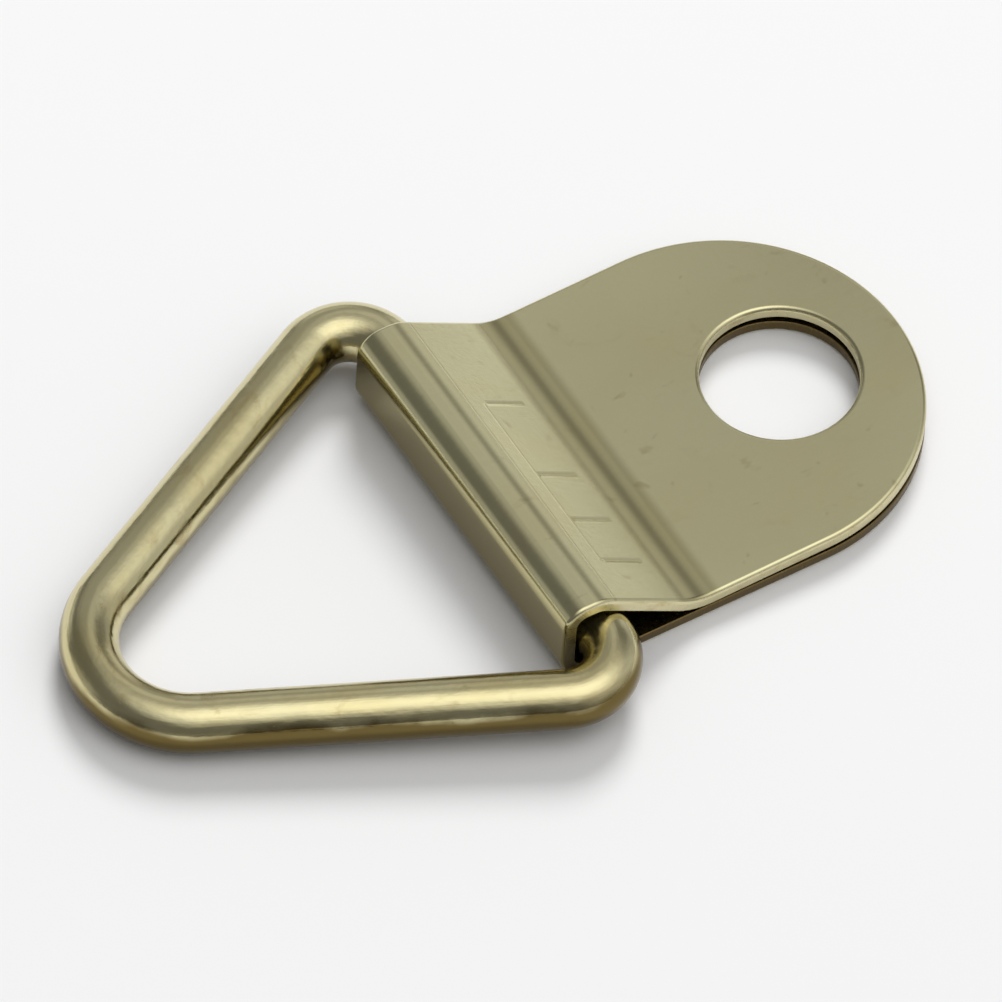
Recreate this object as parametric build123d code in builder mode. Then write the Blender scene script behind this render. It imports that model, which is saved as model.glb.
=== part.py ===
from build123d import *
import os
from math import asin, cos, degrees, radians, tan

os.makedirs("parts", exist_ok=True)

# Strap sizes in mm, measured along Y from the centre of the screw hole
strap_width = 10.0
sheet = 0.35
hole_radius = 2.0
end_reach = 3.4
nose_reach = 9.3

# Slope of the panel that runs from the eye down to the flat part of the front leaf, in degrees
panel_slope = 33.0

# Inner radii of the two nose bends and the shoulder, as shares of the wire's radius that they wrap
nose_low_share = 0.45
nose_top_share = 0.4
shoulder_share = 0.8

# Radius of the hollow bend at the foot of the panel, on the outside
valley_radius = 1.5

# The two leaves spring apart a little towards their round ends
bend_gap = 0.04
end_gap = 0.25

# Rolled edge that the blanking punch leaves round the outer faces
edge_round = 0.12

# Ring sizes, with the bend radii on the centre line of the wire
wire_radius = 0.75
corner_radius = 1.25
apex_radius = 2.5
corner_angle = 64.0
butt_gap = 0.12
wire_end_chamfer = 0.1

# Running clearances of the wire in the folded eye
eye_clearance = 0.05
side_clearance = 0.08

# Hinge line, where the ring's straight leg lies in the eye
hinge_y = nose_reach - sheet - eye_clearance - wire_radius
hinge_z = sheet + eye_clearance + wire_radius

# The panel's outer face touches a circle round the hinge line, and its shoulder stands over that line
panel_offset = wire_radius + eye_clearance + sheet
slope = radians(panel_slope)
nose_height = hinge_z + panel_offset / cos(slope)
bend_top = 2 * sheet + bend_gap
end_top = 2 * sheet + end_gap
bend_reach = hinge_y - (nose_height - bend_top) / tan(slope)

# Triangle of the ring, measured to the sharp corners of its centre line
corner_tangent = corner_radius / tan(radians(corner_angle) / 2)
base_half = strap_width / 2 + side_clearance + corner_tangent
sharp_height = base_half * tan(radians(corner_angle))
ring_reach = sharp_height + apex_radius - apex_radius / cos(radians(corner_angle))

# At rest the ring leans until its round top meets the surface that the strap lies on
rest_lean = degrees(asin((hinge_z - wire_radius) / ring_reach))
ring_plane = Plane(origin=(0, hinge_y, hinge_z)).rotated((-rest_lean, 0, 0))


def bend(path: BuildLine, corner: Vector, radius: float) -> None:
    """Round the vertex of a path that lies at a sharp corner."""
    fillet(path.vertices().sort_by_distance(corner)[0], radius=radius)


# Strap: one sheet folded round the eye and trimmed to a round ended outline
with BuildPart() as strap:
    with BuildSketch(Plane.YZ):
        with BuildLine() as skin:
            Polyline(
                (-end_reach, 0),
                (nose_reach, 0),
                (nose_reach, nose_height),
                (hinge_y, nose_height),
                (bend_reach, bend_top),
                (-end_reach, end_top),
            )
            bend(skin, Vector(nose_reach, 0), sheet + nose_low_share * wire_radius)
            bend(skin, Vector(nose_reach, nose_height), sheet + nose_top_share * wire_radius)
            bend(skin, Vector(hinge_y, nose_height), sheet + shoulder_share * wire_radius)
            bend(skin, Vector(bend_reach, bend_top), valley_radius)
            outer_face = Plane.YZ * skin.wire()
            offset(amount=sheet, side=Side.LEFT)
        make_face()
    extrude(amount=strap_width / 2, both=True)

    with BuildSketch():
        with Locations((0, strap_width / 2 - end_reach)):
            Circle(radius=strap_width / 2)
            Rectangle(strap_width, nose_reach, align=(Align.CENTER, Align.MIN))
    extrude(amount=nose_height, mode=Mode.INTERSECT)

    with BuildSketch():
        Circle(radius=hole_radius)
    extrude(amount=nose_height, mode=Mode.SUBTRACT)

    def on_outer_face(edge: Edge) -> bool:
        """Tell whether the middle of an edge lies on the outer side of the sheet."""
        middle = edge @ 0.5
        return outer_face.distance_to(Vector(0, middle.Y, middle.Z)) < sheet / 4

    outline_edges = strap.edges().filter_by(Axis.X, reverse=True).filter_by(on_outer_face)
    fillet(outline_edges, radius=edge_round)

# Ring: one wire bent to a triangle, its two ends meeting inside the eye
with BuildPart() as ring:
    with BuildLine(ring_plane) as wire_path:
        Polyline(
            (butt_gap / 2, 0),
            (base_half, 0),
            (0, sharp_height),
            (-base_half, 0),
            (-butt_gap / 2, 0),
        )
        bend(wire_path, ring_plane.from_local_coords(Vector(base_half, 0)), corner_radius)
        bend(wire_path, ring_plane.from_local_coords(Vector(0, sharp_height)), apex_radius)
        bend(wire_path, ring_plane.from_local_coords(Vector(-base_half, 0)), corner_radius)
    with BuildSketch(Plane(origin=wire_path.line @ 0, z_dir=wire_path.line % 0)):
        Circle(radius=wire_radius)
    sweep()
    chamfer(ring.faces().filter_by(Axis.X).edges(), length=wire_end_chamfer)

strap.part.label = "strap"
ring.part.label = "ring"
export_step(strap.part, "parts/strap.step")
export_step(ring.part, "parts/ring.step")
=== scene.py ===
"""Looks of the d ring picture hanger: a folded brass strap, and the wire ring that swings in its eye."""

import logging
from collections.abc import Callable, Iterator
from contextlib import contextmanager
from dataclasses import dataclass
from enum import Enum
from math import asin, atan, copysign, cos, hypot, inf, pi, radians, sin, tan

import bmesh
import bpy
from mathutils import Matrix, Vector


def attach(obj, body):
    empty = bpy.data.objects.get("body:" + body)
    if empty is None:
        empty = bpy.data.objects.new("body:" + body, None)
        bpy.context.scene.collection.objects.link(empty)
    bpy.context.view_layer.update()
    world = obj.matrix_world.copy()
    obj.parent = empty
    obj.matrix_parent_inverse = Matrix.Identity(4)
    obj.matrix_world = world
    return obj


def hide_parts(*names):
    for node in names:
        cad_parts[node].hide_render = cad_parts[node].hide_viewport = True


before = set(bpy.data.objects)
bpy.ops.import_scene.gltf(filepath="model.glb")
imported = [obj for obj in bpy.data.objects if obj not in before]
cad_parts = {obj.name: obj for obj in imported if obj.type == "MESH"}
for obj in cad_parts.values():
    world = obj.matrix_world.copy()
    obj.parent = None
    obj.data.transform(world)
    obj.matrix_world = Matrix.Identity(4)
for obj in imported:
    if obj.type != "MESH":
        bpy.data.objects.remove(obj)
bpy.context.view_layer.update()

log = logging.getLogger("d_ring_hanger")

Triple = tuple[float, float, float]
Range = tuple[float, float]
Walk = list[tuple[Vector, float]]
Piece = bpy.types.Object
Socket = bpy.types.NodeSocket

# Pieces are shaped in millimetres, where the mesh tools are precise, and brought to metres at the end
MM = 0.001

# Points that lie closer than this are welded to one, in millimetres
WELD = 1e-5

# Profile of a bevel with a round section
ROUND = 0.5

# Least part of a face's normal along an axis, for the face to count as looking that way
FACING = 0.9

# Faces of the slightest bend
LEAST_STEPS = 3

# Offset of a wall that grows from its skin to the inner side
INWARDS = -1.0

QUARTER = pi / 2
ACROSS = Vector((1, 0, 0))
ONWARD = Vector((0, 1, 0))
SKYWARD = Vector((0, 0, 1))

# The mesh attribute that holds each point's place on the metal before it was bent
UNROLLED = "unrolled"

UNIT: Range = (0.0, 1.0)
UNSTRETCHED: Triple = (1.0, 1.0, 1.0)


class Body(Enum):
    """The two parts that move against each other."""

    STRAP = "strap"
    RING = "ring"


class Slot(Enum):
    """The record's two brass finishes."""

    PLATE = "brass_plate"
    WIRE = "brass_wire"


class Element(Enum):
    """What is picked of a mesh."""

    EDGE = "EDGE"
    FACE = "FACE"


class SheetPlace(Enum):
    """A point's place on the flat sheet, by the name of its unrolled coordinate."""

    ACROSS = "X"
    ALONG = "Y"


class WirePlace(Enum):
    """A point's place on the straight wire, by the name of its unrolled coordinate.

    The side is positive towards the ring's inside, and the height is measured from the ring's own plane.
    """

    SIDE = "X"
    HEIGHT = "Y"
    ALONG = "Z"


# Tools of the bench


def lone(piece: Piece) -> None:
    """Select one piece and nothing else.

    Args:
        piece: The object, which becomes the active one too.
    """
    for other in bpy.context.selected_objects:
        other.select_set(False)
    piece.select_set(True)
    bpy.context.view_layer.objects.active = piece


@contextmanager
def on_the_bench(piece: Piece) -> Iterator[None]:
    """Hold a piece in edit mode.

    Args:
        piece: The mesh object to edit.
    """
    lone(piece)
    bpy.ops.object.mode_set(mode="EDIT")
    bpy.ops.mesh.select_mode(type="FACE")
    yield
    bpy.ops.object.mode_set(mode="OBJECT")


def pick(piece: Piece, element: Element, rule: Callable[..., bool]) -> None:
    """Select only those edges or faces of a piece in edit mode that a rule accepts.

    Args:
        piece: The mesh object in edit mode.
        element: Whether edges or faces are picked.
        rule: Says whether one is wanted.
    """
    bpy.ops.mesh.select_all(action="DESELECT")
    bpy.ops.mesh.select_mode(type=element.value)
    shell = bmesh.from_edit_mesh(piece.data)
    for part in shell.edges if element is Element.EDGE else shell.faces:
        part.select_set(rule(part))
    shell.select_flush_mode()
    bmesh.update_edit_mesh(piece.data)


def weld() -> None:
    """Select all of the piece in edit mode, and merge its points that lie in one place."""
    bpy.ops.mesh.select_all(action="SELECT")
    bpy.ops.mesh.remove_doubles(threshold=WELD)


def worked(piece: Piece, kind: str, **settings: object) -> None:
    """Add a modifier to a piece and apply it.

    Args:
        piece: The mesh object that it changes.
        kind: Blender's name for the modifier.
        settings: The modifier's own settings.
    """
    lone(piece)
    modifier = piece.modifiers.new(kind.title(), kind)
    for name, value in settings.items():
        setattr(modifier, name, value)
    bpy.ops.object.modifier_apply(modifier=modifier.name)


def named(piece: Piece, name: str) -> None:
    """Give a piece and its mesh one name."""
    piece.name = name
    piece.data.name = name


def off_the_bench(piece: Piece, place: Callable[[Vector], Triple], crisp: float, weight: int) -> None:
    """Keep a shaped piece's unrolled places for its grain, shade it smoothly, and bring it to metres.

    Args:
        piece: The mesh object, in millimetres.
        place: Gives a point's place on the metal before it was bent.
        crisp: The angle between two faces, in radians, from which their edge stays crisp.
        weight: How much the larger faces rule the shading, from 1 to 100, where 50 is even.
    """
    places = [value for vertex in piece.data.vertices for value in place(vertex.co)]
    store = piece.data.attributes.new(UNROLLED, "FLOAT_VECTOR", "POINT")
    store.data.foreach_set("vector", places)
    lone(piece)
    bpy.ops.object.shade_smooth_by_angle(angle=crisp)
    worked(piece, "WEIGHTED_NORMAL", keep_sharp=True, weight=weight)
    piece.scale = (MM, MM, MM)
    bpy.ops.object.transform_apply()


# Routes of bent metal


@dataclass(frozen=True)
class Stretch:
    """One straight run or one bend of a route, in millimetres and radians, positive to the left."""

    run: float = 0.0
    radius: float = 0.0
    turn: float = 0.0

    @property
    def length(self) -> float:
        """How long the stretch is, along the metal."""
        return self.run or self.radius * abs(self.turn)


@dataclass(frozen=True)
class Plane:
    """The plane that a route lies in, with the directions of its two axes in space."""

    origin: Vector
    right: Vector
    up: Vector

    @property
    def axis(self) -> Vector:
        """The direction that the plane faces."""
        return self.right.cross(self.up)

    def along(self, x: float, y: float) -> Vector:
        """Lift a step on the plane into space."""
        return self.right * x + self.up * y

    def at(self, x: float, y: float) -> Vector:
        """Lift a point of the plane into space."""
        return self.origin + self.along(x, y)

    def laid(self, spot: Vector) -> tuple[Vector, float]:
        """Give the point of the plane that lies under a spot, and the spot's height over it."""
        away = spot - self.origin
        return Vector((away.dot(self.right), away.dot(self.up))), away.dot(self.axis)


def swept(
    route: list[Stretch], start: Vector, plane: Plane, bend_steps: int, extrude: Callable[..., set[str]]
) -> None:
    """Push and turn what is selected in edit mode along a route.

    Args:
        route: The runs and bends.
        start: Where the route starts in its plane.
        plane: The plane.
        bend_steps: The faces in a quarter turn.
        extrude: The operator that pushes the selection along a straight run.
    """
    x, y = start
    heading = 0.0
    for stretch in route:
        turn = stretch.turn
        if turn:
            arm = copysign(stretch.radius, turn)
            middle = (x - arm * sin(heading), y + arm * cos(heading))
            steps = max(LEAST_STEPS, round(bend_steps * abs(turn) / QUARTER))
            bpy.ops.mesh.spin(steps=steps, angle=-turn, center=plane.at(*middle), axis=plane.axis)
            heading += turn
            x, y = middle[0] + arm * sin(heading), middle[1] - arm * cos(heading)
        else:
            push = (stretch.run * cos(heading), stretch.run * sin(heading))
            extrude(TRANSFORM_OT_translate={"value": plane.along(*push)})
            x, y = x + push[0], y + push[1]


def walked(route: list[Stretch], start: Vector, bend_steps: int) -> Walk:
    """Walk along a route, which sets off along the first axis of its plane.

    Args:
        route: The runs and bends.
        start: Where the route starts in its plane.
        bend_steps: The number of steps that each bend is walked in.

    Returns:
        Points of the route, each with its length along the route.
    """
    spot, heading, gone = start, 0.0, 0.0
    walk = [(spot, gone)]
    for stretch in route:
        steps = bend_steps if stretch.radius else 1
        stride = stretch.length / steps
        for _ in range(steps):
            heading += stretch.turn / steps / 2
            spot = spot + Vector((cos(heading), sin(heading))) * stride
            heading += stretch.turn / steps / 2
            gone += stride
            walk.append((spot, gone))
    return walk


def nearest(point: Vector, walk: Walk) -> tuple[float, float]:
    """Measure a point against a walked route.

    Args:
        point: A point of the route's plane.
        walk: The route's points, each with its length along the route.

    Returns:
        The length along the route of the place nearest to the point, and the point's distance from it,
        positive on the left.
    """
    best = (0.0, inf)
    for (first, gone), (second, further) in zip(walk, walk[1:]):
        run = second - first
        share = min(max((point - first).dot(run) / run.length_squared, 0.0), 1.0)
        away = point - first - run * share
        if away.length < abs(best[1]):
            side = 1 if run.x * away.y - run.y * away.x > 0 else -1
            best = (gone + share * (further - gone), side * away.length)
    return best


# Finishes


@dataclass(frozen=True)
class Pattern:
    """A noise over the unrolled metal.

    Attributes:
        stretch: Repeats per millimetre along each of the unrolled coordinates.
        detail: Octaves of finer noise.
        stir: How much the pattern is distorted.
        span: Between which of its values, 0.5 on average, it fades in.
    """

    stretch: Triple
    detail: float
    stir: float = 0.0
    span: Range = UNIT


class Mixture:
    """Values that are mixed from nodes."""

    def __init__(self, tree: bpy.types.NodeTree) -> None:
        """Mix in a node tree."""
        self.nodes = tree.nodes
        self.links = tree.links

    def node(self, kind: str, **settings: object) -> bpy.types.Node:
        """Add a node.

        Args:
            kind: The node's type.
            settings: Properties of the node, set by name.

        Returns:
            The new node.
        """
        made = self.nodes.new(kind)
        for name, value in settings.items():
            setattr(made, name, value)
        return made

    def ranged(self, value: Socket, span: Range, result: Range, ramp: str = "SMOOTHSTEP") -> Socket:
        """Map a value from one range to another, clamped.

        Args:
            value: What is mapped.
            span: The range that it comes in.
            result: The range that it leaves in.
            ramp: Blender's name for the way from one end to the other.

        Returns:
            The mapped value.
        """
        made = self.node("ShaderNodeMapRange", clamp=True, interpolation_type=ramp)
        for name, end in zip(("From Min", "From Max", "To Min", "To Max"), (*span, *result)):
            made.inputs[name].default_value = end
        self.links.new(value, made.inputs["Value"])
        return made.outputs["Result"]

    def reckoned(self, operation: str, first: Socket, second: Socket) -> Socket:
        """Work out one value from two.

        Args:
            operation: Blender's name for the sum.
            first: The first value.
            second: The second value.

        Returns:
            The result.
        """
        made = self.node("ShaderNodeMath", operation=operation)
        self.links.new(first, made.inputs[0])
        self.links.new(second, made.inputs[1])
        return made.outputs[0]

    def times(self, first: Socket, second: Socket) -> Socket:
        """Multiply two values."""
        return self.reckoned("MULTIPLY", first, second)

    def summed(self, total: Socket, *terms: Socket) -> Socket:
        """Add up values.

        Args:
            total: The first value.
            terms: What is added to it, one after the other.

        Returns:
            Their sum.
        """
        for term in terms:
            total = self.reckoned("ADD", total, term)
        return total


class Metal(Mixture):
    """A metal whose patterns are mixed from nodes, over the unrolled piece."""

    def __init__(self, name: str) -> None:
        """Start a plain metal.

        Args:
            name: The material's name.
        """
        self.material = bpy.data.materials.new(name)
        self.material.use_nodes = True
        super().__init__(self.material.node_tree)
        self.shader = self.nodes["Principled BSDF"]
        self.shader.inputs["Metallic"].default_value = 1.0

    def unrolled(self, stretch: Triple) -> Socket:
        """Read the piece's unrolled coordinates, in millimetres.

        Args:
            stretch: How many times a pattern repeats per millimetre of each coordinate.

        Returns:
            The stretched coordinates.
        """
        source = self.node("ShaderNodeAttribute", attribute_name=UNROLLED)
        mapping = self.node("ShaderNodeMapping")
        mapping.inputs["Scale"].default_value = stretch
        self.links.new(source.outputs["Vector"], mapping.inputs["Vector"])
        return mapping.outputs["Vector"]

    def coordinate(self, place: SheetPlace | WirePlace) -> Socket:
        """Read one of the unrolled coordinates, in millimetres.

        Args:
            place: Which one.

        Returns:
            Its value.
        """
        parts = self.node("ShaderNodeSeparateXYZ")
        self.links.new(self.unrolled(UNSTRETCHED), parts.inputs["Vector"])
        return parts.outputs[place.value]

    def noise(self, pattern: Pattern) -> Socket:
        """Make a noise over the unrolled metal.

        Args:
            pattern: Its size, detail and stir.

        Returns:
            The noise value, over its whole span.
        """
        texture = self.node("ShaderNodeTexNoise")
        texture.inputs["Scale"].default_value = 1.0
        texture.inputs["Detail"].default_value = pattern.detail
        texture.inputs["Distortion"].default_value = pattern.stir
        self.links.new(self.unrolled(pattern.stretch), texture.inputs["Vector"])
        return texture.outputs["Fac"]

    def spread(self, pattern: Pattern, result: Range) -> Socket:
        """Make a noise, and map the span in which it shows to a range."""
        return self.ranged(self.noise(pattern), pattern.span, result)

    def blend(self, amount: Socket, first: Socket | Triple, second: Socket | Triple) -> Socket:
        """Mix two colours.

        Args:
            amount: The share of the second colour.
            first: A colour, or a socket that gives one.
            second: The other colour.

        Returns:
            The mixed colour.
        """
        made = self.node("ShaderNodeMix", data_type="RGBA")
        self.links.new(amount, made.inputs["Factor"])
        for name, colour in (("A", first), ("B", second)):
            socket = next(s for s in made.inputs if s.name == name and s.type == "RGBA")
            if isinstance(colour, tuple):
                socket.default_value = (*colour, 1.0)
            else:
                self.links.new(colour, socket)
        return next(s for s in made.outputs if s.type == "RGBA")

    def dented(self, height: Socket, depth: float, normal: Socket | None = None) -> Socket:
        """Bend the surface's normal by a height.

        Args:
            height: The pattern, from 0 to 1.
            depth: How deep the whole pattern is, in metres.
            normal: A normal that is already bent.

        Returns:
            The bent normal.
        """
        made = self.node("ShaderNodeBump")
        made.inputs["Distance"].default_value = depth
        self.links.new(height, made.inputs["Height"])
        if normal is not None:
            self.links.new(normal, made.inputs["Normal"])
        return made.outputs["Normal"]

    def finished(self, colour: Socket, roughness: Socket, normal: Socket) -> bpy.types.Material:
        """Put the patterns on the metal.

        Args:
            colour: The metal's colour.
            roughness: Its roughness.
            normal: Its bent normal.

        Returns:
            The finished material.
        """
        for socket, name in ((colour, "Base Color"), (roughness, "Roughness"), (normal, "Normal")):
            self.links.new(socket, self.shader.inputs[name])
        return self.material


@dataclass(frozen=True)
class RolledBrass:
    """Bright rolled brass sheet with fine grain and faint tarnish, and painted shade on the fold's front,
    crease and valley.

    A share is the part of a colour at its strongest. Fades are in millimetres, and depths in metres.

    Attributes:
        front: Where the painted shade on the fold's front starts and ends, along the sheet.
        crease: Where the fine line of painted shade at the panel's head lies.
        valley: Where the painted shade in the bend at the panel's foot starts and ends.
        leaf: Where the front leaf starts and ends. It is slightly bowed and dished.
    """

    front: Range
    crease: float
    valley: Range
    leaf: Range
    name: str = "rolled_brass"
    metal: Triple = (0.665, 0.63, 0.38)
    warm: Triple = (0.67, 0.615, 0.36)
    clouds: Pattern = Pattern((0.35, 0.25, 0.3), 3.0, 0.6, (0.35, 0.7))
    tarnish: Triple = (0.50, 0.42, 0.23)
    stains: Pattern = Pattern((0.9, 0.6, 1.0), 6.0, 1.2, (0.60, 0.80))
    stain_share: float = 0.25
    stain_rough: float = 0.05
    speck: Triple = (0.40, 0.31, 0.15)
    specks: Pattern = Pattern((1.8, 1.5, 1.5), 2.0, 0.4, (0.64, 0.78))
    speck_share: float = 0.35
    painted_shade: Triple = (0.215, 0.17, 0.055)
    shade_share: float = 0.9
    shade_fade: float = 0.5
    crease_shade_share: float = 0.35
    crease_shade_fade: float = 0.07
    valley_shade_share: float = 0.4
    valley_shade_fade: float = 0.3
    grain: Pattern = Pattern((28.0, 1.2, 3.0), 3.0, 0.0, (0.25, 0.75))
    grain_depth: float = 7e-7
    gloss: Range = (0.14, 0.20)
    pits: Pattern = Pattern((9.0, 7.0, 5.0), 4.0, 0.0, (0.35, 0.75))
    pit_depth: float = 8e-7
    pit_rough: float = 0.03
    waves: Pattern = Pattern((0.16, 0.12, 0.2), 1.0)
    wave_depth: float = 6e-5
    bow: float = 2e-4
    dish: float = -5e-6

    def mixed(self) -> bpy.types.Material:
        """Build the material.

        Returns:
            The finished material.
        """
        mix = Metal(self.name)
        tone = mix.blend(mix.spread(self.clouds, UNIT), self.metal, self.warm)
        stains = mix.spread(self.stains, (0.0, self.stain_share))
        stained = mix.blend(stains, tone, self.tarnish)
        colour = mix.blend(mix.spread(self.specks, (0.0, self.speck_share)), stained, self.speck)
        # Painted shade: one dark brown laid over the fold's front, along the crease and over the valley
        for place, fade, share in (
            # A band of painted shade over the fold's lower bend and upright front
            (self.front, self.shade_fade, self.shade_share),
            # A fine line of painted shade along the crease
            ((self.crease, self.crease), self.crease_shade_fade, self.crease_shade_share),
            # Painted shade in the concave bend of the valley
            (self.valley, self.valley_shade_fade, self.valley_shade_share),
        ):
            colour = mix.blend(self.band(mix, place, fade, share), colour, self.painted_shade)

        grain, pits = mix.noise(self.grain), mix.noise(self.pits)
        rough = mix.summed(
            mix.ranged(grain, self.grain.span, self.gloss),
            mix.ranged(pits, self.pits.span, (0.0, self.pit_rough)),
            mix.ranged(stains, (0.0, self.stain_share), (0.0, self.stain_rough)),
        )

        onward = mix.ranged(mix.coordinate(SheetPlace.ALONG), self.leaf, UNIT, "LINEAR")
        across = mix.coordinate(SheetPlace.ACROSS)
        bowed = mix.dented(mix.times(onward, onward), self.bow)
        dished = mix.dented(mix.times(onward, mix.times(across, across)), self.dish, bowed)
        waved = mix.dented(mix.noise(self.waves), self.wave_depth, dished)
        brushed = mix.dented(grain, self.grain_depth, waved)
        return mix.finished(colour, rough, mix.dented(pits, self.pit_depth, brushed))

    @staticmethod
    def band(mix: Metal, place: Range, fade: float, share: float) -> Socket:
        """Make a value that is only there on one band across the sheet.

        Args:
            mix: The metal that it lies on.
            place: Between which lengths along the sheet the band is full.
            fade: The width of its soft sides.
            share: Its value where it is full.

        Returns:
            The value.
        """
        start, end = place
        rising = mix.ranged(mix.coordinate(SheetPlace.ALONG), (start - fade, start), UNIT)
        falling = mix.ranged(mix.coordinate(SheetPlace.ALONG), (end, end + fade), (share, 0.0))
        return mix.times(rising, falling)


@dataclass(frozen=True)
class ShearedBrass:
    """The sheet's cut edge, rougher than its faces, with fine shear lines, and painted shade on the back
    leaf's edge.

    Attributes:
        clearing: Between which lengths along the sheet the painted shade gives way to bright metal.
    """

    clearing: Range
    name: str = "sheared_brass"
    metal: Triple = (0.68, 0.62, 0.38)
    worn: Triple = (0.50, 0.42, 0.21)
    back_edge_shade: Triple = (0.14, 0.10, 0.04)
    patches: Pattern = Pattern((1.5, 1.5, 4.0), 4.0, 0.0, (0.50, 0.75))
    worn_share: float = 0.8
    lines: Pattern = Pattern((12.0, 12.0, 1.0), 3.0, 0.0, (0.3, 0.7))
    line_depth: float = 4e-6
    gloss: Range = (0.26, 0.40)

    def mixed(self) -> bpy.types.Material:
        """Build the material.

        Returns:
            The finished material.
        """
        mix = Metal(self.name)
        patched = mix.blend(mix.spread(self.patches, (0.0, self.worn_share)), self.metal, self.worn)
        # Painted shade: the back leaf's cut edge and hole wall are dark brown, clearing to bright metal
        # further along
        clear = mix.ranged(mix.coordinate(SheetPlace.ALONG), self.clearing, UNIT)
        lines = mix.noise(self.lines)
        return mix.finished(
            mix.blend(clear, self.back_edge_shade, patched),
            mix.ranged(lines, self.lines.span, self.gloss),
            mix.dented(lines, self.line_depth),
        )


@dataclass(frozen=True)
class DrawnBrass:
    """Drawn brass wire, with long die lines and small dents, and painted shade in dark brown, mostly low
    on its outer side.

    Attributes:
        shade_height: Between which heights the painted shade fades in, going down.
        shade_side: Where across the wire the inner side gives way to the outer.
        inner_drop: How much lower the painted shade starts on the inner side.
        shade_along: Where along the wire the painted shade rises.
        shade_drop: How much lower it starts before that.
    """

    name: str = "drawn_brass"
    metal: Triple = (0.67, 0.61, 0.36)
    warm: Triple = (0.65, 0.57, 0.30)
    clouds: Pattern = Pattern((0.9, 0.9, 0.3), 3.0, 0.5, (0.35, 0.7))
    tarnish: Triple = (0.38, 0.27, 0.10)
    stains: Pattern = Pattern((1.4, 1.4, 0.9), 6.0, 1.0, (0.55, 0.75))
    stain_share: float = 0.4
    stain_rough: float = 0.1
    painted_shade: Triple = (0.135, 0.095, 0.026)
    shade_share: float = 0.96
    inner_shade_share: float = 0.7
    shade_height: Range = (0.52, 0.26)
    shade_side: Range = (0.30, -0.10)
    inner_drop: float = 0.1
    shade_along: Range = (18.5, 21.5)
    shade_drop: float = 0.2
    shade_edge: Pattern = Pattern((0.8, 0.8, 0.5), 3.0, 0.0, (0.3, 0.7))
    shade_wander: float = 0.12
    die_lines: Pattern = Pattern((16.0, 16.0, 0.35), 3.0, 0.0, (0.25, 0.75))
    line_depth: float = 2.5e-6
    gloss: Range = (0.14, 0.22)
    dents: Pattern = Pattern((2.6, 2.6, 1.6), 3.0)
    dent_depth: float = 1.2e-5

    def mixed(self) -> bpy.types.Material:
        """Build the material.

        Returns:
            The finished material.
        """
        mix = Metal(self.name)
        tone = mix.blend(mix.spread(self.clouds, UNIT), self.metal, self.warm)
        stains = mix.spread(self.stains, (0.0, self.stain_share))
        stained = mix.blend(stains, tone, self.tarnish)
        # Painted shade: darker brown low on the wire, strongest on its outer side
        side = mix.coordinate(WirePlace.SIDE)
        level = mix.summed(
            mix.coordinate(WirePlace.HEIGHT),
            mix.spread(self.shade_edge, (-self.shade_wander, self.shade_wander)),
            mix.ranged(side, self.shade_side, (self.inner_drop, 0.0)),
            mix.ranged(mix.coordinate(WirePlace.ALONG), self.shade_along, (self.shade_drop, 0.0)),
        )
        share = mix.ranged(side, self.shade_side, (self.inner_shade_share, self.shade_share))
        painted_shade = mix.times(mix.ranged(level, self.shade_height, UNIT), share)
        colour = mix.blend(painted_shade, stained, self.painted_shade)

        lines = mix.noise(self.die_lines)
        rough = mix.summed(
            mix.ranged(lines, self.die_lines.span, self.gloss),
            mix.ranged(stains, (0.0, self.stain_share), (0.0, self.stain_rough)),
        )
        uneven = mix.dented(mix.noise(self.dents), self.dent_depth)
        return mix.finished(colour, rough, mix.dented(lines, self.line_depth, uneven))


# Strap


@dataclass(frozen=True)
class Press:
    """The short marks that the folding tool leaves across the sloping panel, in millimetres.

    Each mark is a shallow groove that runs down the slope, and a fainter border joins their upper ends.

    Attributes:
        near: How far down the panel the border lies.
        reach: The marks' length down the slope.
        groove: The width of their sloping sides.
    """

    marks: tuple[float, ...] = (-3.55, -2.1, -0.5, 2.03)
    near: float = 0.45
    border: float = 0.12
    border_groove: float = 0.05
    border_depth: float = 0.003
    reach: float = 1.4
    width: float = 0.24
    groove: float = 0.1
    depth: float = 0.02


@dataclass(frozen=True)
class Crease:
    """The fine line that the folding tool leaves at the head of the panel, in millimetres."""

    radius: float = 0.4
    turn: float = radians(4.0)

    @property
    def length(self) -> float:
        """How much of the panel the crease takes up."""
        return 4 * self.radius * sin(self.turn)


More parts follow.
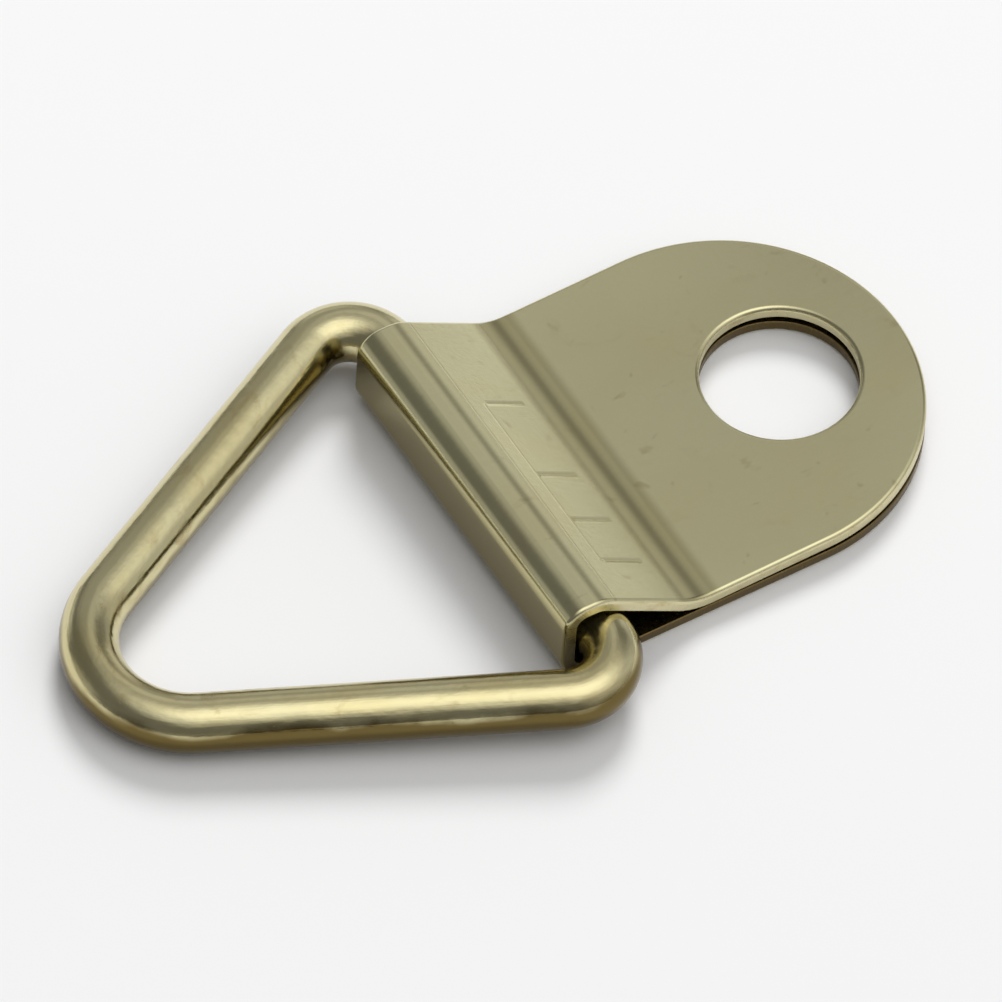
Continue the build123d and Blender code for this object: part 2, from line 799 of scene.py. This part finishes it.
@dataclass
class FoldedStrap:
    """One brass sheet, folded round the ring's straight leg, with a screw hole through both leaves.

    Sizes are in millimetres, along Y from the centre of the hole, and the same as the model's.

    Attributes:
        bend_top: The height of the front leaf's plane where it meets the panel's.
        end_top: Its height at the round end.
        edge_roll: The radius of the edge that the blanking punch rolls over on the outer side.
        edge_break: The radius of the broken edge on the inner side.
        cut_depth: How far inside the outline a point still belongs to the cut edge.
        shade_height: The part of the fold's front that the painted shade covers.
        waste: The spare sheet that the outline trims off.
        tool_height: The height of the trimming tools, in heights of the strap.
        bend_steps: The faces in a quarter turn.
        rim_angle: The least angle of an edge that is rolled or broken.
    """

    name: str = "folded_strap"
    width: float = 10.0
    sheet: float = 0.35
    hole_radius: float = 2.0
    end_reach: float = 3.4
    nose_reach: float = 9.3
    hinge_y: float = 8.15
    hinge_z: float = 1.15
    nose_low_radius: float = 0.6875
    nose_top_radius: float = 0.65
    shoulder_radius: float = 0.95
    valley_radius: float = 1.5
    panel_slope: float = radians(33.0)
    bend_top: float = 0.74
    end_top: float = 0.95
    edge_roll: float = 0.12
    edge_break: float = 0.03
    cut_depth: float = 0.035
    shade_height: float = 0.97
    waste: float = 0.6
    tool_height: int = 4
    bend_steps: int = 16
    walk_steps: int = 8
    outline_steps: int = 192
    hole_steps: int = 96
    roll_steps: int = 9
    break_steps: int = 2
    rim_angle: float = radians(60.0)
    crisp: float = radians(12.0)
    face_weight: int = 80
    press: Press = Press()
    crease: Crease = Crease()

    def __post_init__(self) -> None:
        """Work out the places of the bends from the sizes."""
        self.nose_height = self.hinge_z + self.hinge_z / cos(self.panel_slope)
        fall = self.nose_height - self.bend_top
        leaf_run = self.hinge_y - fall / tan(self.panel_slope) + self.end_reach
        self.leaf_slope = atan((self.end_top - self.bend_top) / leaf_run)
        self.shoulder_tangent = self.shoulder_radius * tan(self.panel_slope / 2)
        valley_tangent = self.valley_radius * tan((self.panel_slope + self.leaf_slope) / 2)
        self.panel_length = fall / sin(self.panel_slope) - self.shoulder_tangent - valley_tangent
        self.leaf_length = leaf_run / cos(self.leaf_slope) - valley_tangent
        self.valley_length = self.valley_radius * (self.panel_slope + self.leaf_slope)
        self.round_middle = self.width / 2 - self.end_reach
        self.plane = Plane(Vector(), ONWARD, SKYWARD)
        self.start = Vector((-self.end_reach - self.waste, 0))
        self.walk = walked(self.route(), self.start, self.walk_steps)

    def route(self) -> list[Stretch]:
        """List the runs and bends of the outer skin, from the back leaf's end to the front leaf's.

        Returns:
            The stretches.
        """
        crease, press = self.crease, self.press
        dip = Stretch(radius=crease.radius, turn=-crease.turn)
        return [
            Stretch(self.nose_reach + self.end_reach + self.waste - self.nose_low_radius),
            Stretch(radius=self.nose_low_radius, turn=QUARTER),
            Stretch(self.nose_height - self.nose_low_radius - self.nose_top_radius),
            Stretch(radius=self.nose_top_radius, turn=QUARTER),
            Stretch(self.nose_reach - self.nose_top_radius - self.hinge_y - self.shoulder_tangent),
            Stretch(radius=self.shoulder_radius, turn=self.panel_slope),
            dip,
            Stretch(radius=crease.radius, turn=2 * crease.turn),
            dip,
            Stretch(press.near),
            Stretch(press.border),
            Stretch(press.reach),
            Stretch(self.panel_length - press.near - press.border - press.reach - crease.length),
            Stretch(radius=self.valley_radius, turn=-self.panel_slope - self.leaf_slope),
            Stretch(self.leaf_length + self.waste),
        ]

    def fold(self) -> Piece:
        """Draw the outer skin by pushing and turning one edge along the fold.

        Returns:
            The skin, an open strip of faces that look outwards.
        """
        back, *onward = self.route()
        bend = self.start + Vector((back.run, 0))
        bpy.ops.mesh.primitive_plane_add(size=1.0, location=ONWARD * (bend.x - back.run / 2))
        skin = bpy.context.object
        skin.scale = (self.width + 2 * self.waste, back.run, 1)
        bpy.ops.object.transform_apply()
        with on_the_bench(skin):
            pick(skin, Element.EDGE, lambda edge: all(end.co.y > bend.x - WELD for end in edge.verts))
            swept(onward, bend, self.plane, self.bend_steps, bpy.ops.mesh.extrude_edges_move)
            weld()
            bpy.ops.mesh.normals_make_consistent(inside=False)
            shell = bmesh.from_edit_mesh(skin.data)
            shell.normal_update()
            back_leaf = min(shell.faces, key=lambda face: face.calc_center_median().z)
            if back_leaf.normal.z > 0:
                bpy.ops.mesh.flip_normals()
        return skin

    def coin(self, skin: Piece) -> None:
        """Press the folding tool's marks into the panel.

        Args:
            skin: The open strip.
        """
        press = self.press
        start = self.shoulder_tangent + self.crease.length + press.near
        line = [(min(press.marks), max(press.marks))]
        self.groove(skin, start, press.border, line, press.border_groove, press.border_depth)
        spans = [(mark - press.width / 2, mark + press.width / 2) for mark in press.marks]
        self.groove(skin, start + press.border, press.reach, spans, press.groove, press.depth)

    def groove(
        self, skin: Piece, start: float, length: float, spans: list[Range], thickness: float, depth: float
    ) -> None:
        """Cut spans out of one strip of the panel, and sink them.

        Args:
            skin: The open strip of sheet.
            start: How far down the slope the panel's strip starts.
            length: The strip's length down the slope.
            spans: Where each span starts and ends across the sheet.
            thickness: The width of the sunk span's sloping sides.
            depth: How deep it is sunk.
        """
        down = Vector((0, -cos(self.panel_slope), -sin(self.panel_slope)))
        middle = Vector((0, self.hinge_y, self.nose_height)) + down * (start + length / 2)

        def on_strip(face: bmesh.types.BMFace) -> bool:
            """Tell whether a face is of the strip, with its centre near the strip's middle."""
            away = face.calc_center_median() - middle
            return hypot(away.y, away.z) < length / 4

        def in_span(face: bmesh.types.BMFace) -> bool:
            """Tell whether a face of the strip lies in one of the spans."""
            x = face.calc_center_median().x
            return on_strip(face) and any(low < x < high for low, high in spans)

        with on_the_bench(skin):
            for side in (end for span in spans for end in span):
                pick(skin, Element.FACE, on_strip)
                bpy.ops.mesh.bisect(plane_co=(side, 0, 0), plane_no=ACROSS, threshold=WELD)
            pick(skin, Element.FACE, in_span)
            bpy.ops.mesh.inset(thickness=thickness, depth=-depth, use_individual=True)

    def outline(self) -> Piece:
        """Make the tool that trims the strap to its round ended outline.

        Returns:
            A closed block, taller than the strap.
        """
        middle = ONWARD * self.round_middle
        tool = self.bar(self.outline_steps, self.width / 2, middle)
        with on_the_bench(tool):
            bpy.ops.mesh.select_all(action="SELECT")
            bpy.ops.mesh.bisect(
                plane_co=middle, plane_no=ONWARD, threshold=WELD, use_fill=True, clear_outer=True
            )
            pick(tool, Element.FACE, lambda face: face.normal.y > FACING)
            bpy.ops.mesh.extrude_region_move(TRANSFORM_OT_translate={"value": ONWARD * self.nose_reach})
            bpy.ops.mesh.select_all(action="SELECT")
            bpy.ops.mesh.normals_make_consistent(inside=False)
        return tool

    def bar(self, steps: int, radius: float, middle: Vector) -> Piece:
        """Make an upright round bar, taller than the strap.

        Args:
            steps: The number of its sides.
            radius: Its radius.
            middle: Where its middle lies.

        Returns:
            The closed bar.
        """
        height = self.tool_height * self.nose_height
        bpy.ops.mesh.primitive_cylinder_add(vertices=steps, radius=radius, depth=height, location=middle)
        bpy.ops.object.transform_apply()
        return bpy.context.object

    def trim(self, blank: Piece) -> None:
        """Cut the blank to its outline and punch the hole.

        Args:
            blank: The folded sheet, with its thickness.
        """
        punch = self.bar(self.hole_steps, self.hole_radius, Vector())
        for tool, action in ((self.outline(), "INTERSECT"), (punch, "DIFFERENCE")):
            worked(blank, "BOOLEAN", operation=action, solver="EXACT", object=tool)
            bpy.data.objects.remove(tool)

    def soften(self, blank: Piece) -> None:
        """Roll the cut edges over on the outer side, break them on the inner side, and mark the walls.

        Args:
            blank: The trimmed strap, with both of its finishes.
        """
        rims = ((True, self.edge_roll, self.roll_steps), (False, self.edge_break, self.break_steps))
        with on_the_bench(blank):
            weld()
            for outside, offset, steps in rims:
                pick(blank, Element.EDGE, lambda edge: self.is_rim(edge, outside))
                bpy.ops.mesh.bevel(offset=offset, segments=steps, profile=ROUND)
            pick(blank, Element.FACE, self.is_cut)
            blank.active_material_index = len(blank.data.materials) - 1
            bpy.ops.object.material_slot_assign()

    def is_rim(self, edge: bmesh.types.BMEdge, outside: bool) -> bool:
        """Tell whether an edge is a sharp rim on the outer or the inner side of the sheet.

        Args:
            edge: An edge of the trimmed strap.
            outside: Whether the outer side is meant.

        Returns:
            Whether it is such a rim.
        """
        sharp = len(edge.link_faces) == 2 and edge.calc_face_angle() > self.rim_angle
        half = self.sheet / 2
        return sharp and all((self.unrolled(end.co)[2] < half) == outside for end in edge.verts)

    def unrolled(self, spot: Vector) -> Triple:
        """Find a point's place on the flat sheet.

        Args:
            spot: A point of the strap.

        Returns:
            How far it lies across the sheet, along its outer skin and below the skin.
        """
        point, across = self.plane.laid(spot)
        along, aside = nearest(point, self.walk)
        return across, along, abs(aside)

    def is_cut(self, face: bmesh.types.BMFace) -> bool:
        """Tell whether a face lies on the sheared edge of the sheet or in the hole's wall."""
        return all(self.near_cut(vertex.co) for vertex in face.verts)

    def near_cut(self, spot: Vector) -> bool:
        """Tell whether a point lies on or close to the sheared edge or the hole's wall.

        Args:
            spot: A point of the strap.

        Returns:
            Whether it does.
        """
        limit = self.width / 2 - self.cut_depth
        at_end = spot.y < self.round_middle and hypot(spot.x, spot.y - self.round_middle) > limit
        in_hole = hypot(spot.x, spot.y) < self.hole_radius + self.cut_depth
        return at_end or abs(spot.x) > limit or in_hole

    def dress(self, blank: Piece) -> None:
        """Give the strap the finish of its faces, and then that of its cut edge.

        Args:
            blank: The trimmed strap.
        """
        # The fold's front gets painted shade, and the cut edge before it, on the back leaf, too
        back, low_bend, upright = (stretch.length for stretch in self.route()[:3])
        front = (back + low_bend / 2, back + low_bend + upright * self.shade_height)
        end = self.walk[-1][1] - self.waste
        leaf = (end - self.leaf_length, end)
        valley = (leaf[0] - self.valley_length, leaf[0])
        crease = valley[0] - self.panel_length + self.crease.length
        for finish in (RolledBrass(front, crease, valley, leaf), ShearedBrass(front)):
            blank.data.materials.append(finish.mixed())

    def build(self) -> Piece:
        """Fold, press, trim and finish the strap.

        Returns:
            The finished piece.
        """
        strap = self.fold()
        named(strap, self.name)
        self.coin(strap)
        worked(strap, "SOLIDIFY", thickness=self.sheet, offset=INWARDS, use_even_offset=True)
        self.trim(strap)
        self.dress(strap)
        self.soften(strap)
        off_the_bench(strap, self.unrolled, self.crisp, self.face_weight)
        return strap


# Ring


@dataclass
class BentRing:
    """One brass wire, bent to a rounded triangle whose straight leg lies in the strap's eye.

    Sizes are in millimetres, on the centre line of the wire, and the same as the model's.

    Attributes:
        leg_room: Half the length of the straight leg between its two bends.
        butt_gap: The gap between the wire's two ends.
        bend_steps: The faces in a quarter turn.
    """

    name: str = "wire_ring"
    wire_radius: float = 0.75
    corner_radius: float = 1.25
    apex_radius: float = 2.5
    corner_angle: float = radians(64.0)
    leg_room: float = 5.08
    butt_gap: float = 0.12
    end_chamfer: float = 0.1
    hinge_y: float = 8.15
    hinge_z: float = 1.15
    section_steps: int = 48
    bend_steps: int = 20
    walk_steps: int = 24
    end_steps: int = 2
    crisp: float = radians(40.0)
    face_weight: int = 50

    def __post_init__(self) -> None:
        """Work out the triangle and the lean from the sizes."""
        self.corner_tangent = self.corner_radius / tan(self.corner_angle / 2)
        self.apex_tangent = self.apex_radius * tan(self.corner_angle)
        self.base_half = self.leg_room + self.corner_tangent
        sharp_height = self.base_half * tan(self.corner_angle)
        reach = sharp_height + self.apex_radius - self.apex_radius / cos(self.corner_angle)
        lean = asin((self.hinge_z - self.wire_radius) / reach)
        hinge = Vector((0, self.hinge_y, self.hinge_z))
        self.plane = Plane(hinge, ACROSS, Vector((0, cos(lean), -sin(lean))))
        self.start = Vector((self.butt_gap / 2, 0))
        self.walk = walked(self.route(), self.start, self.walk_steps)

    def route(self) -> list[Stretch]:
        """List the runs and bends of the wire, from one end in the eye round to the other.

        Returns:
            The stretches.
        """
        stub = Stretch(self.leg_room - self.butt_gap / 2)
        corner = Stretch(radius=self.corner_radius, turn=pi - self.corner_angle)
        leg = Stretch(self.base_half / cos(self.corner_angle) - self.corner_tangent - self.apex_tangent)
        apex = Stretch(radius=self.apex_radius, turn=2 * self.corner_angle)
        return [stub, corner, leg, apex, leg, corner, stub]

    def draw(self) -> Piece:
        """Push and turn a round section along the wire's route.

        Returns:
            The closed wire.
        """
        bpy.ops.mesh.primitive_circle_add(
            vertices=self.section_steps,
            radius=self.wire_radius,
            fill_type="NGON",
            location=self.plane.at(*self.start),
            rotation=(0, QUARTER, 0),
        )
        wire = bpy.context.object
        bpy.ops.object.transform_apply()
        with on_the_bench(wire):
            bpy.ops.mesh.select_all(action="SELECT")
            swept(self.route(), self.start, self.plane, self.bend_steps, bpy.ops.mesh.extrude_region_move)
            weld()
            bpy.ops.mesh.normals_make_consistent(inside=False)
            pick(wire, Element.FACE, lambda face: len(face.verts) == self.section_steps)
            bpy.ops.mesh.bevel(offset=self.end_chamfer, segments=self.end_steps, profile=ROUND)
        return wire

    def unrolled(self, spot: Vector) -> Triple:
        """Find a point's place on the straight wire.

        Args:
            spot: A point of the ring.

        Returns:
            How far it lies to the ring's inside, above the ring's plane and along the wire.
        """
        point, height = self.plane.laid(spot)
        along, side = nearest(point, self.walk)
        return side, height, along

    def build(self) -> Piece:
        """Draw and finish the ring.

        Returns:
            The finished piece.
        """
        ring = self.draw()
        named(ring, self.name)
        ring.data.materials.append(DrawnBrass().mixed())
        off_the_bench(ring, self.unrolled, self.crisp, self.face_weight)
        return ring


# Studio


@dataclass(frozen=True)
class SoftPatch:
    """A soft round patch of light in the sky, which fades from its inner radius to its outer.

    Angles are in degrees, as seen from the object. The height is above the table, and the bearing is
    measured from straight beyond the object, positive to the picture's right.
    """

    height: float
    bearing: float
    inner: float
    outer: float
    strength: float


@dataclass(frozen=True)
class LongLens:
    """The camera, a long way off, at the photograph's viewing angle.

    Attributes:
        target: The point in the middle of the picture, in metres.
        frame_width: How much the picture takes in at the target, in metres.
    """

    name: str = "long_lens"
    azimuth: float = radians(145.76)
    elevation: float = radians(52.43)
    roll: float = radians(3.95)
    target: Triple = (0.001715, 0.006895, -0.001894)
    frame_width: float = 0.02482
    lens: float = 1000.0
    sensor: float = 36.0

    def axes(self) -> tuple[Vector, Vector, Vector]:
        """Work out which way the camera looks.

        Returns:
            Its right, up and backward directions.
        """
        level = cos(self.elevation)
        back = Vector((level * cos(self.azimuth), level * sin(self.azimuth), sin(self.elevation)))
        aside = SKYWARD.cross(back).normalized()
        right = aside * cos(self.roll) + back.cross(aside) * sin(self.roll)
        return right, back.cross(right), back

    def place(self) -> None:
        """Create the camera and make it the scene's own."""
        data = bpy.data.cameras.new(self.name)
        data.lens = self.lens
        data.sensor_width = self.sensor
        camera = bpy.data.objects.new(self.name, data)
        bpy.context.scene.collection.objects.link(camera)
        right, up, back = self.axes()
        turn = Matrix((right, up, back)).transposed()
        distance = self.frame_width * self.lens / self.sensor
        camera.matrix_world = Matrix.Translation(Vector(self.target) + back * distance) @ turn.to_4x4()
        bpy.context.scene.camera = camera


@dataclass(frozen=True)
class Studio:
    """A pale table under soft light.

    The lamp's height and bearing are in degrees, like a patch's, and its distance and size in metres.
    """

    camera: LongLens = LongLens()
    table_colour: Triple = (0.95, 0.95, 0.95)
    table_roughness: float = 0.9
    table_size: float = 3.0
    sky: float = 0.165
    patches: tuple[SoftPatch, ...] = (
        SoftPatch(75, 120, 5, 30, 0.60),
        SoftPatch(75, 120, 10, 52, 0.78),
        SoftPatch(10, 92, 20, 58, 0.40),
        SoftPatch(44, 2, 3, 13, 0.28),
        SoftPatch(27, 14, 4, 18, 0.13),
        SoftPatch(36, -16, 10, 32, 0.19),
        SoftPatch(4, 28, 5, 24, 0.30),
        SoftPatch(6, -12, 5, 22, 0.30),
        SoftPatch(6, -92, 3, 20, 0.25),
        SoftPatch(17, 23, 5, 17, 0.20),
        SoftPatch(3, -52, 4, 18, 0.35),
    )
    lamp_height: float = 45.0
    lamp_bearing: float = 5.0
    lamp_distance: float = 0.6
    lamp_size: float = 0.25
    lamp_power: float = 2.0

    def towards(self, height: float, bearing: float) -> Vector:
        """Turn a height and a bearing, like a patch's, into a direction of the object's frame.

        Args:
            height: The height.
            bearing: The bearing.

        Returns:
            The unit direction.
        """
        back = self.camera.axes()[2]
        beyond = Vector((-back.x, -back.y, 0)).normalized()
        right = beyond.cross(SKYWARD)
        level = beyond * cos(radians(bearing)) + right * sin(radians(bearing))
        return level * cos(radians(height)) + SKYWARD * sin(radians(height))

    def lay_table(self) -> None:
        """Lay the plain pale table under the object."""
        bpy.ops.mesh.primitive_plane_add(size=self.table_size, location=(0, 0, 0))
        table = bpy.context.object
        named(table, "table")
        material = bpy.data.materials.new("table")
        material.use_nodes = True
        shader = material.node_tree.nodes["Principled BSDF"]
        shader.inputs["Base Color"].default_value = (*self.table_colour, 1.0)
        shader.inputs["Roughness"].default_value = self.table_roughness
        shader.inputs["Specular IOR Level"].default_value = 0.0
        table.data.materials.append(material)

    def hang_lamp(self) -> None:
        """Hang the soft lamp that lights the table, and doesn't show in the metal."""
        data = bpy.data.lights.new("soft_lamp", "AREA")
        data.shape = "DISK"
        data.size = self.lamp_size
        data.energy = self.lamp_power
        lamp = bpy.data.objects.new("soft_lamp", data)
        bpy.context.scene.collection.objects.link(lamp)
        way = self.towards(self.lamp_height, self.lamp_bearing)
        lamp.location = way * self.lamp_distance
        lamp.rotation_mode = "QUATERNION"
        lamp.rotation_quaternion = way.to_track_quat("Z", "Y")
        lamp.visible_camera = False
        lamp.visible_glossy = False

    def paint_sky(self) -> None:
        """Paint the sky round the table: an even tone with soft patches of light."""
        world = bpy.data.worlds.new("studio")
        world.use_nodes = True
        bpy.context.scene.world = world
        mix = Mixture(world.node_tree)
        compass = mix.node("ShaderNodeTexCoord")
        even = mix.node("ShaderNodeValue")
        even.outputs[0].default_value = self.sky
        glows = []
        for patch in self.patches:
            dot = mix.node("ShaderNodeVectorMath", operation="DOT_PRODUCT")
            mix.links.new(compass.outputs["Generated"], dot.inputs[0])
            dot.inputs[1].default_value = self.towards(patch.height, patch.bearing)
            fade = (cos(radians(patch.outer)), cos(radians(patch.inner)))
            glows.append(mix.ranged(dot.outputs["Value"], fade, (0.0, patch.strength)))
        background = mix.nodes["Background"]
        background.inputs["Color"].default_value = (1, 1, 1, 1)
        mix.links.new(mix.summed(even.outputs[0], *glows), background.inputs["Strength"])

    def set_up(self) -> None:
        """Lay the table, hang the lamp, paint the sky and place the camera."""
        self.lay_table()
        self.hang_lamp()
        self.paint_sky()
        self.camera.place()


def main() -> None:
    """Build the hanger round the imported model, piece by piece."""
    logging.basicConfig(level=logging.INFO, format="%(message)s")
    bpy.context.scene.view_settings.view_transform = "Standard"
    Studio().set_up()

    strap = FoldedStrap().build()
    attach(strap, Body.STRAP.value)
    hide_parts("strap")
    log.info("folded strap: %d faces", len(strap.data.polygons))

    ring = BentRing().build()
    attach(ring, Body.RING.value)
    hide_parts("ring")
    log.info("wire ring: %d faces", len(ring.data.polygons))


if __name__ == "__main__":
    main()
